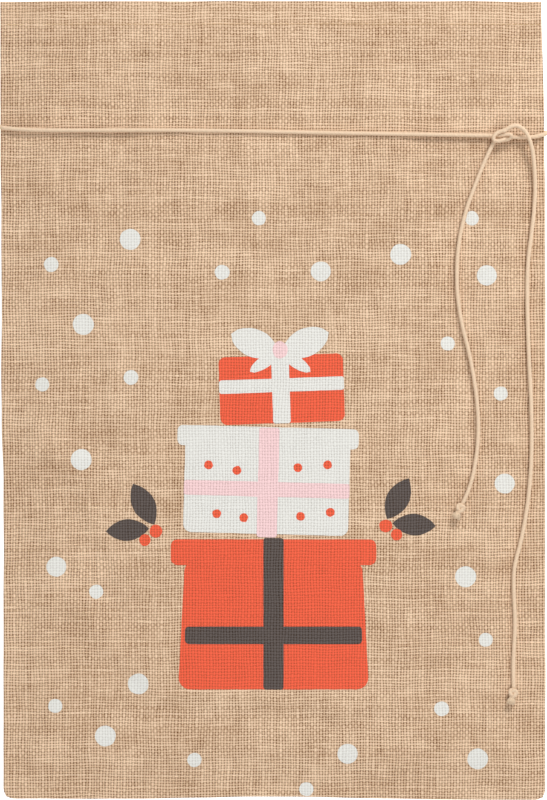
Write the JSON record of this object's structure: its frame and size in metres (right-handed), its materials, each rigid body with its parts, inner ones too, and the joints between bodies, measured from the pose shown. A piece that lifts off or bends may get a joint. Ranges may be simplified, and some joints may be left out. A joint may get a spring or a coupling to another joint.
{
  "type": "drawstring gift sack",
  "caption": "Flat hessian gift sack with a lifting mouth lip and a knotted cotton tie cord that slides along its neck.",
  "frame": {"origin": "on the table, under the middle of the flat sack", "axes": "+X across the sack, +Y towards its mouth, +Z out of its front face"},
  "size_m": [0.4088, 0.59, 0.0188],
  "materials": {
    "hessian": "plain-woven jute, about 4.6 threads per cm",
    "sewing_thread": "spun sewing thread, jute colour",
    "cotton_cord": "twisted cotton cord, matt"
  },
  "bodies": {
    "sack": {"back_panel": "hessian", "front_panel": "hessian", "back_hem": "hessian", "left_seam_allowance": "hessian", "right_seam_allowance": "hessian", "bottom_seam_allowance": "hessian", "left_seam_overlock": "sewing_thread", "right_seam_overlock": "sewing_thread", "bottom_seam_overlock": "sewing_thread", "back_hem_stitching": "sewing_thread"},
    "front_lip": {"front_lip_panel": "hessian", "front_hem": "hessian", "front_hem_stitching": "sewing_thread"},
    "tie_cord": {"neck_loop": "cotton_cord", "main_knot": "cotton_cord", "short_tail": "cotton_cord", "long_tail": "cotton_cord", "short_tail_knot": "cotton_cord", "long_tail_knot": "cotton_cord", "short_tail_tuft": "cotton_cord", "long_tail_tuft": "cotton_cord"}
  },
  "joints": [
    {"name": "mouth_opens", "type": "hinge", "parent": "sack", "child": "front_lip", "pos_m": [0, 0.208, 0.01025], "axis": [1, 0, 0], "range_deg": [0, 35]},
    {"name": "loop_slides", "type": "slide", "parent": "sack", "child": "tie_cord", "axis": [0, -1, 0], "range_m": [0, 0.05]}
  ]
}
